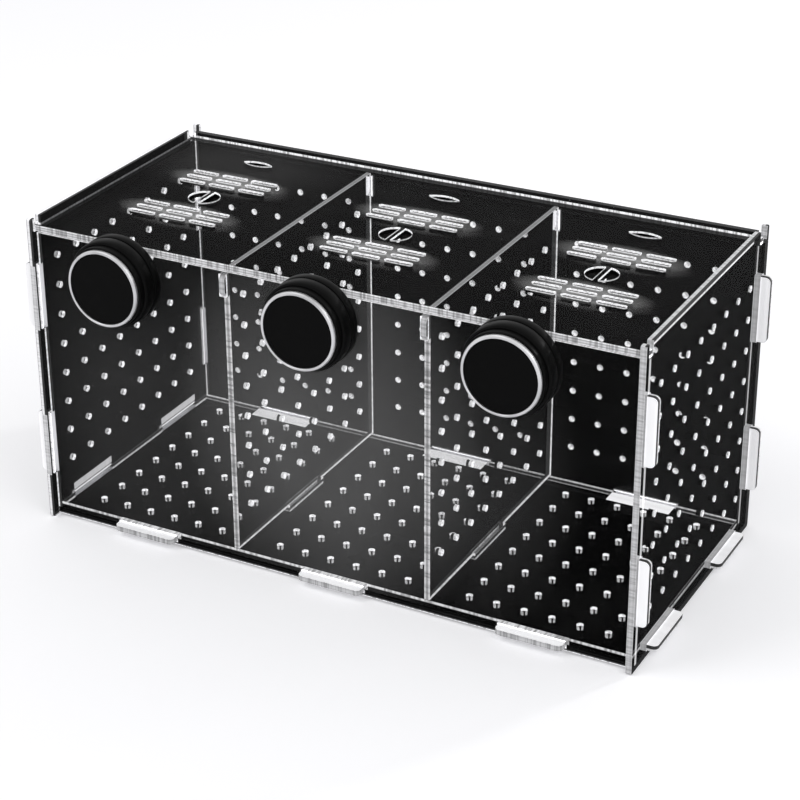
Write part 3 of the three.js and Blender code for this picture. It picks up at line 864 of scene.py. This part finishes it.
# Lid: the walls of its openings lie inside the two corners, painted white down to a depth, and
# below it the far walls painted dark with the near-black sheet: painted light and shade
lid = {
    "ear": 3.5, "earRound": 0.8, "side": 0.4, "middle": 67.4, "slotLength": 13.6, "slotWidth": 2.4,
    "columnPitch": 16.1, "rowPitch": 6.2, "groups": (-21.6, 21.6), "feedRadius": 7.5, "bar": 2.6,
    "lens": 116.3, "lensLength": 15.5, "lensWidth": 5, "slotSteps": 6, "feedSteps": 16,
    "lensSteps": 10, "inside": ((-146, 3.7), (146, 136.7)), "lit": (0.49, -0.87, 0),
    "litFrom": 0.1, "farDepth": 0.85, "nearDepth": 0.7,
}


def ventSlot(x, y):
    radius = lid["slotWidth"] / 2
    middle = lid["slotLength"] / 2 - radius
    points = []
    for side in (1, -1):
        for i in range(lid["slotSteps"] + 1):
            t = -math.pi / 2 + i * math.pi / lid["slotSteps"]
            along = x + side * (middle + radius * math.cos(t))
            points.append(Vector((along, y + side * radius * math.sin(t))))
    return points


def feedHalf(x, side):
    radius, steps = lid["feedRadius"], lid["feedSteps"]
    swing = math.acos(lid["bar"] / 2 / radius)
    angles = [-swing + 2 * swing * i / steps for i in range(steps + 1)]
    return [
        Vector((x + side * radius * math.cos(t), lid["middle"] + side * radius * math.sin(t)))
        for t in angles
    ]


def lensCut(x):
    long, rise = lid["lensLength"] / 2, lid["lensWidth"] / 2
    radius = (long * long + rise * rise) / (2 * rise)
    swing = math.asin(long / radius)
    points = []
    for side in (-1, 1):
        for i in range(lid["lensSteps"]):
            t = -swing + 2 * swing * i / lid["lensSteps"]
            y = lid["lens"] + side * (radius * math.cos(t) - radius + rise)
            points.append(Vector((x - side * radius * math.sin(t), y)))
    return points


def whitenOpenings(piece, bottom):
    places = []
    for material in (outerHole, clearSheet, paintedShadeSheet):
        piece.data.materials.append(material)
        places.append(piece.data.materials.find(material.name))
    white, clear, dark = places
    (left, front), (right, back) = lid["inside"]
    for face in piece.data.polygons:
        spot = Vector(face.center) / mm
        spot.y += box["setBack"]
        upright = abs(face.normal.z) < flatFrom
        if upright and left < spot.x < right and front < spot.y < back:
            # Painted light and shade: far walls white down to farDepth, near-black below; near
            # walls white down to nearDepth, clear below
            far = face.normal.dot(Vector(lid["lit"])) > lid["litFrom"]
            depth = bottom + box["sheet"] - spot.z
            below = dark if far else clear
            isWhite = depth < lid["farDepth" if far else "nearDepth"]
            face.material_index = white if isWhite else below


def makeLid():
    low = (-box["insideHalf"] + lid["side"], box["frontLip"])
    high = (box["insideHalf"] - lid["side"], box["lidBack"])
    deep = high[1] - low[1]
    reach = lid["side"] + box["sheet"]
    ears = [
        (0, lid["ear"], reach, lid["earRound"], lid["earRound"]),
        (deep - lid["ear"], deep, reach, lid["earRound"], lid["earRound"]),
    ]
    outline = panel(low, high, [[], ears, [], ears])
    cuts = []
    for x in box["patterns"]:
        for group in lid["groups"]:
            for row in (-1, 0, 1):
                for column in (-1, 0, 1):
                    y = lid["middle"] + group + row * lid["rowPitch"]
                    cuts.append(ventSlot(x + column * lid["columnPitch"], y))
        cuts += [feedHalf(x, -1), feedHalf(x, 1), lensCut(x)]
    bottom = box["lidBottom"]
    piece = cutSheet("lidSheet", outline, cuts, 2, bottom + half)
    for depth in (lid["farDepth"], lid["nearDepth"]):
        splitAt(piece, 2, bottom + box["sheet"] - depth)
    dress(piece, 2, bottom, {
        "faces": (lidSheet, lidSheet),
        "edges": {
            (0, 0): edgeWithPaintedLight(2, bottom, "faint", 0.2, 0.8),
            (0, 1): edgeWithPaintedLight(2, bottom, "low", 2.2, 0.6),
            (1, 0): edgeWithPaintedLight(2, bottom, "rope", 0.2, 0.7),
            (1, 1): edgeWithPaintedLight(2, bottom, "high", 1.3, 0.8),
        },
    })
    whitenOpenings(piece, bottom)
    settle(piece, "lid", "lid")


makeLid()
print("lid made")


# Magnet pairs: black housings turned from a profile
magnet = {
    "places": (-100.85, -1.6, 92.95), "height": 133.8, "steps": 96, "gripSteps": 180,
    "grip": (11.6, 14.2), "gripInner": 18.3, "gripOuter": 19.05, "gripSlack": 0.1,
    "smoothUnder": 30,
}

# Black finishes: tone, roughness, scale of the grain and gloss
blacks = {
    "blackHousing": (0.003, 0.3, 4000, 0.05),
    "blackFace": (0.0015, 0.5, 9000, 0.05),
    "blackRubber": (0.008, 0.75, 2500, 0.2),
}
blackWear = {"scuffs": 260, "share": 0.5, "lift": 2.5, "mottle": 0.12, "relief": 0.00002}


def makeBlack(name, level, rough, grain, gloss):
    f = newFinish(name)
    mottled = f.noise(grain, 4)
    scuffs = f.ramp(f.noise(blackWear["scuffs"], 3), [(0.55, 0), (0.8, 1)])
    worn = grey(level * blackWear["lift"])
    return f.finish({
        "Base Color": f.blend(scuffs * blackWear["share"], grey(level), worn),
        "Roughness": rough + blackWear["mottle"] * mottled,
        "Specular IOR Level": gloss,
        "Normal": f.bump(mottled, blackWear["relief"]),
    })


# Turned metal: fine rings round each magnet's own axis, so each bezel has its finish
aluminium = {
    "dark": 0.36, "bright": 0.74, "rings": 9000, "clouds": 70, "rough": 0.3, "relief": 0.00003,
    "ringShare": 0.6, "cloudShare": 0.5, "ringRough": 0.2,
}


def makeAluminium(x):
    f = newFinish("turnedAluminium" + str(magnet["places"].index(x) + 1))
    out = f.split(f.place(at(x, 0, magnet["height"])))
    radius = (out[0] * out[0] + out[2] * out[2]) ** 0.5
    rings = f.add(
        "ShaderNodeTexNoise", {"noise_dimensions": "1D"},
        {"W": radius * aluminium["rings"], "Scale": 1},
    )
    rings = Value(f, rings.outputs[0])
    cloud = f.ramp(f.noise(aluminium["clouds"], 2), [(0.35, 0), (0.65, 1)])
    tone = rings * aluminium["ringShare"] + cloud * aluminium["cloudShare"]
    return f.finish({
        "Base Color": f.blend(tone, grey(aluminium["dark"]), grey(aluminium["bright"])),
        "Metallic": 1.0,
        "Roughness": aluminium["rough"] + aluminium["ringRough"] * rings,
        "Normal": f.bump(rings, aluminium["relief"]),
    })


def turnPiece(name, profile, x, steps):
    bpy.ops.object.select_all(action="DESELECT")
    centre = Vector(at(x, box["frontLip"], magnet["height"]))
    bpy.ops.mesh.primitive_plane_add(size=0.001, location=centre)
    piece = bpy.context.active_object
    piece.name = name
    piece.data.name = name
    bpy.ops.object.transform_apply(location=True, rotation=True, scale=True)
    bpy.ops.object.mode_set(mode="EDIT")
    bpy.ops.mesh.select_all(action="SELECT")
    bpy.ops.mesh.merge(type="CENTER")
    spots = [Vector((radius, -forward, 0)) * mm for radius, forward in profile]
    bpy.ops.transform.translate(value=spots[0])
    here = spots[0]
    closing = [] if profile[0][0] == 0 else spots[:1]
    for spot in spots[1:] + closing:
        bpy.ops.mesh.extrude_region_move(TRANSFORM_OT_translate={"value": spot - here})
        here = spot
    bpy.ops.mesh.select_all(action="SELECT")
    bpy.ops.mesh.remove_doubles(threshold=weld)
    bpy.ops.mesh.select_all(action="SELECT")
    bpy.ops.mesh.spin(steps=steps, angle=2 * math.pi, center=centre, axis=(0, 1, 0))
    bpy.ops.mesh.select_all(action="SELECT")
    bpy.ops.mesh.remove_doubles(threshold=weld)
    bpy.ops.mesh.normals_make_consistent(inside=False)
    bpy.ops.object.mode_set(mode="OBJECT")
    return piece


# Meant to raise every other face of the grip band as a tooth. All points are still selected when
# edit mode starts, so all faces are too, and the cap gets a second shell as far out instead.
def cutGrip(piece, x):
    rear, front = magnet["grip"]
    for face in piece.data.polygons:
        spot = Vector(face.center) / mm
        forward = box["frontLip"] - box["setBack"] - spot.y
        rise, over = spot.z - magnet["height"], spot.x - x
        turn = math.atan2(rise, over) / (2 * math.pi) * magnet["gripSteps"]
        onBand = abs(math.hypot(rise, over) - magnet["gripInner"]) < magnet["gripSlack"]
        face.select = onBand and rear < forward < front and math.floor(turn) % 2 == 0
    pick(piece)
    bpy.ops.object.mode_set(mode="EDIT")
    bpy.ops.mesh.select_mode(type="FACE")
    tooth = (magnet["gripOuter"] - magnet["gripInner"]) * mm
    bpy.ops.mesh.extrude_region_shrink_fatten(TRANSFORM_OT_shrink_fatten={"value": tooth})
    bpy.ops.mesh.select_mode(type="VERT")
    bpy.ops.object.mode_set(mode="OBJECT")


def copyTo(piece, name, x, fromX):
    pick(piece)
    bpy.ops.object.duplicate(linked=False)
    twin = bpy.context.active_object
    twin.name = name
    twin.data.name = name
    twin.location.x += (x - fromX) * mm
    bpy.ops.object.transform_apply(location=True, rotation=True, scale=True)
    return twin


# Profiles: radius and depth forward of the front wall, from the axis round and back to it
profiles = {
    "capBody": [
        (0, 7.3), (13.3, 7.3), (13.3, 14.6), (17.45, 14.6), (17.6, 14.45), (17.6, 14.2),
        (18.15, 14.2), (18.3, 14.1), (18.3, 11.6), (18.3, 11), (19.2, 11), (19.6, 10.8),
        (19.8, 10.4), (19.8, 6.3), (19.7, 6.0), (19.3, 5.8), (17.3, 5.8), (17.3, 6.7), (0, 6.7),
    ],
    "baseBody": [
        (0, 4.3), (17.3, 4.3), (17.3, 5.2), (20.1, 5.2), (20.5, 5.0), (20.7, 4.6), (20.7, 1.1),
        (20.5, 0.7), (20.1, 0.5), (15.3, 0.5), (15.3, 1.4), (13.3, 1.4), (13.3, 3.7), (0, 3.7),
    ],
    "bezel": [
        (16.7, 16.65), (16.85, 16.8), (17.3, 16.8), (17.75, 16.65), (18.1, 16.1), (18.1, 14.9),
        (16.7, 14.9),
    ],
    "face": [(0, 16.3), (16.1, 16.3), (16.4, 16.1), (16.4, 14.9), (0, 14.9)],
    "baseRubber": [(0, 5.35), (16.7, 5.35), (17, 5.2), (17, 4.6), (0, 4.6)],
    "capRubber": [(0, 6.4), (17, 6.4), (17, 5.8), (16.7, 5.65), (0, 5.65)],
}

blackHousing, blackFace, blackRubber = [makeBlack(name, *look) for name, look in blacks.items()]
bezelMetals = [makeAluminium(x) for x in magnet["places"]]
turned = {
    "capBody": ("magnet_cap", "black_plastic", blackHousing),
    "baseBody": ("magnet_base", "black_plastic", blackHousing),
    "bezel": ("cap_bezel", "bright_aluminium", bezelMetals[0]),
    "face": ("cap_face", "black_plastic", blackFace),
    "baseRubber": ("base_rubber", "black_rubber", blackRubber),
    "capRubber": ("cap_rubber", "black_rubber", blackRubber),
}
bodies = ("cap_left", "cap_middle", "cap_right")
for key, (node, slotName, material) in turned.items():
    x = magnet["places"][0]
    steps = magnet["gripSteps" if key == "capBody" else "steps"]
    piece = turnPiece(key + "1", profiles[key], x, steps)
    if key == "capBody":
        cutGrip(piece, x)
    pick(piece)
    bpy.ops.object.shade_smooth_by_angle(angle=math.radians(magnet["smoothUnder"]))
    piece.data.materials.append(material)
    for i, other in enumerate(magnet["places"]):
        one = piece if i == 0 else copyTo(piece, key + str(i + 1), other, x)
        if key == "bezel":
            one.data.materials[0] = bezelMetals[i]
        settle(one, f"{node}_{i + 1}", "box" if key.startswith("base") else bodies[i], slotName)
print("magnets made")


# Hidden discs and adhesive pads keep their CAD solids
def makeNickel():
    f = newFinish("nickelPlate")
    cloud = f.noise(300, 3)
    return f.finish({
        "Base Color": f.blend(cloud, grey(0.45), grey(0.6)),
        "Metallic": 1.0,
        "Roughness": 0.25 + 0.15 * cloud,
    })


def makeFoam():
    f = newFinish("whiteFoam")
    cells = f.noise(2600, 3)
    return f.finish({
        "Base Color": f.blend(cells, grey(0.6), grey(0.8)),
        "Roughness": 0.95,
        "Normal": f.bump(cells, 0.00005),
    })


nickel = makeNickel()
foam = makeFoam()
for i in (1, 2, 3):
    for node, material in (("base_magnet", nickel), ("cap_magnet", nickel), ("adhesive_pad", foam)):
        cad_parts[f"{node}_{i}"].material_slots[0].material = material


# Floor, light and camera
studio = {
    "floorTone": 0.92, "floorLift": 0.3, "floorSize": 60, "floorDrop": 0.0002, "world": 0.55,
    "keyPower": 9, "fillPower": 4, "edgePower": 5, "lampSize": 1.0, "edgeSize": 0.16,
    "keyPlace": (-0.9, -0.9, 1.6), "fillPlace": (1.3, -0.6, 1.1), "edgePlace": (0.82, 1.17, 0.5),
    "aim": (0, 0, 0.07), "seeThrough": 32,
}


def seenDirectly(f):
    path = f.add("ShaderNodeLightPath")
    seen = Value(f, path.outputs["Is Camera Ray"]) + Value(f, path.outputs["Is Glossy Ray"])
    return seen + Value(f, path.outputs["Is Transmission Ray"])


def makeFloorStage():
    bpy.ops.object.select_all(action="DESELECT")
    place = (0, 0, -studio["floorDrop"])
    bpy.ops.mesh.primitive_plane_add(size=studio["floorSize"], location=place)
    ground = bpy.context.active_object
    ground.name = "studioFloor"
    f = newFinish("paleFloor")
    ground.data.materials.append(f.finish({
        "Base Color": grey(studio["floorTone"]),
        "Roughness": 1.0,
        "Specular IOR Level": 0.0,
        "Emission Color": f.blend(seenDirectly(f), (0, 0, 0, 1), grey(1)),
        "Emission Strength": studio["floorLift"],
    }))


def makeWorld():
    scene.world = bpy.data.worlds.new("studio")
    f = Finish(scene.world)
    white = (1, 1, 1, 1)
    light = f.add("ShaderNodeBackground", None, {"Color": white, "Strength": studio["world"]})
    shown = f.add("ShaderNodeBackground", None, {"Color": white, "Strength": 1.0})
    mix = f.add(
        "ShaderNodeMixShader", None,
        {0: seenDirectly(f), 1: light.outputs[0], 2: shown.outputs[0]},
    )
    f.add("ShaderNodeOutputWorld", None, {"Surface": mix.outputs[0]})


def addLamp(name, place, power, size):
    bpy.ops.object.light_add(type="AREA", location=place)
    lamp = bpy.context.active_object
    lamp.name = name
    lamp.data.energy = power
    lamp.data.size = size
    aim = Vector(studio["aim"]) - Vector(place)
    lamp.rotation_euler = aim.to_track_quat("-Z", "Y").to_euler()


def makeCamera():
    view = {
        "place": (0.435567, -0.821082, 0.530350), "lens": 101.09, "shift": (0.07337, -0.01224),
        "across": (0.875728, 0.482559, -0.015398), "up": (-0.201171, 0.393698, 0.896957),
        "behind": (0.438897, -0.782393, 0.441849),
    }
    bpy.ops.object.camera_add()
    camera = bpy.context.active_object
    camera.name = "photoCamera"
    camera.data.sensor_width = 36
    camera.data.lens = view["lens"]
    camera.data.shift_x, camera.data.shift_y = view["shift"]
    turn = Matrix((view["across"], view["up"], view["behind"])).transposed()
    camera.rotation_euler = turn.to_quaternion().to_euler()
    camera.location = view["place"]
    scene.camera = camera


makeFloorStage()
makeWorld()
addLamp("keyLamp", studio["keyPlace"], studio["keyPower"], studio["lampSize"])
addLamp("fillLamp", studio["fillPlace"], studio["fillPower"], studio["lampSize"])
addLamp("edgeLamp", studio["edgePlace"], studio["edgePower"], studio["edgeSize"])
makeCamera()
scene.view_settings.view_transform = "Standard"
scene.cycles.transparent_max_bounces = studio["seeThrough"]
print("studio made")
